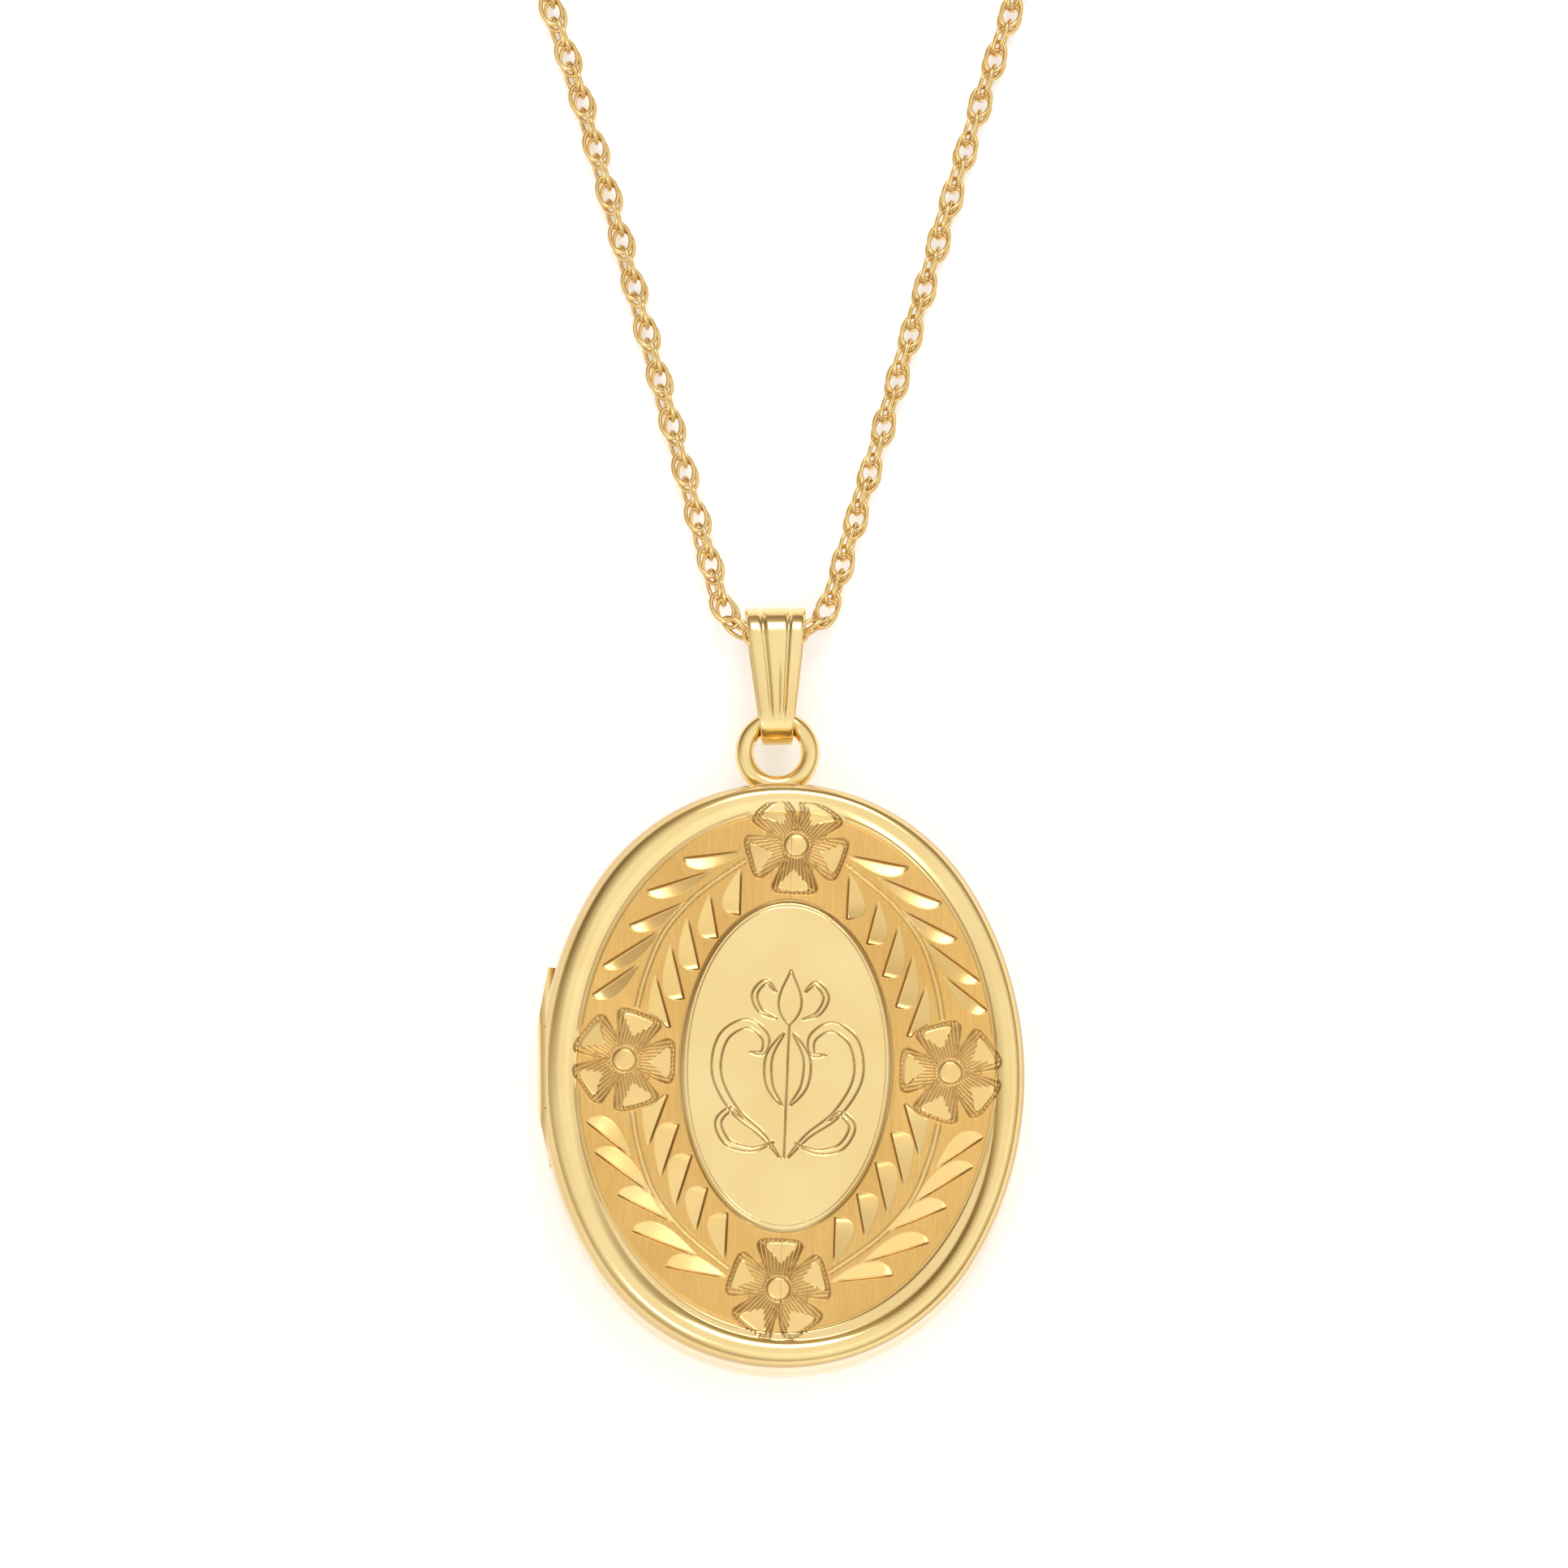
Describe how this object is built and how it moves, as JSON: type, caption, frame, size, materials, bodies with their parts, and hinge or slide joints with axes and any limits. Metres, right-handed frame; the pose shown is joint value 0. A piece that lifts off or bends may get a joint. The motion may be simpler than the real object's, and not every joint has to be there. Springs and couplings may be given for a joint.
{
  "type": "locket necklace",
  "caption": "Oval hinged locket with an engraved front, a ring and tapered bail, and a fine link chain with a spring ring clasp.",
  "frame": {"origin": "middle of the flat back face, on the surface the locket lies on", "axes": "+Z out of the engraved front, +Y towards the hanger ring and chain, +X to the right seen from the front; hinge on the -X side"},
  "size_m": [0.031, 0.0868, 0.0054],
  "materials": {
    "front_satin": "satin, engraved",
    "gold_polished": "polished",
    "gold_inside": "fine brushed",
    "gold_bail": "polished",
    "gold_chain": "polished",
    "photo_paper": "matt, blank",
    "clear_window": "clear plastic",
    "spring_steel": "bright"
  },
  "bodies": {
    "case_back": {"back_shell": "gold_polished", "back_rim": "gold_inside", "back_photo": "photo_paper", "back_window": "clear_window", "back_frame": "gold_inside", "hinge_knuckle_upper": "gold_polished", "hinge_knuckle_lower": "gold_polished", "hinge_pin": "gold_inside", "catch_keeper": "gold_inside", "hanger_ring": "gold_polished"},
    "cover": {"front_shell": "front_satin", "front_rim": "gold_inside", "front_photo": "photo_paper", "front_window": "clear_window", "front_frame": "gold_inside", "hinge_knuckle_middle": "gold_polished", "catch_tongue": "gold_inside"},
    "bail": {"bail": "gold_bail"},
    "chain": {"chain_left": "gold_chain", "coil_left": "gold_chain", "chain_left_tail": "gold_chain", "chain_right": "gold_chain", "coil_right": "gold_chain", "chain_right_tail": "gold_chain", "clasp_body": "gold_chain", "clasp_spring": "spring_steel", "clasp_eye": "gold_chain", "end_ring": "gold_chain"},
    "clasp_trigger": {"clasp_trigger": "gold_chain"}
  },
  "joints": [
    {"name": "cover_hinge", "type": "hinge", "parent": "case_back", "child": "cover", "pos_m": [-0.00978, 0.00064, 0.0027], "axis": [0, -1, 0], "range_deg": [0, 155]},
    {"name": "bail_swing", "type": "hinge", "parent": "case_back", "child": "bail", "pos_m": [0, 0.01548, 0.0022], "axis": [1, 0, 0], "range_deg": [-75, 100]},
    {"name": "chain_swing", "type": "hinge", "parent": "bail", "child": "chain", "pos_m": [0, 0.01924, 0.0012], "axis": [1, 0, 0], "range_deg": [-90, 70]},
    {"name": "clasp_trigger", "type": "hinge", "parent": "chain", "child": "clasp_trigger", "pos_m": [-0.00473, 0.07162, 0.00045], "axis": [0, 0, -1], "range_deg": [0, 58], "stiffness_Nm_per_rad": 0.00004, "springref_deg": -34.38}
  ]
}
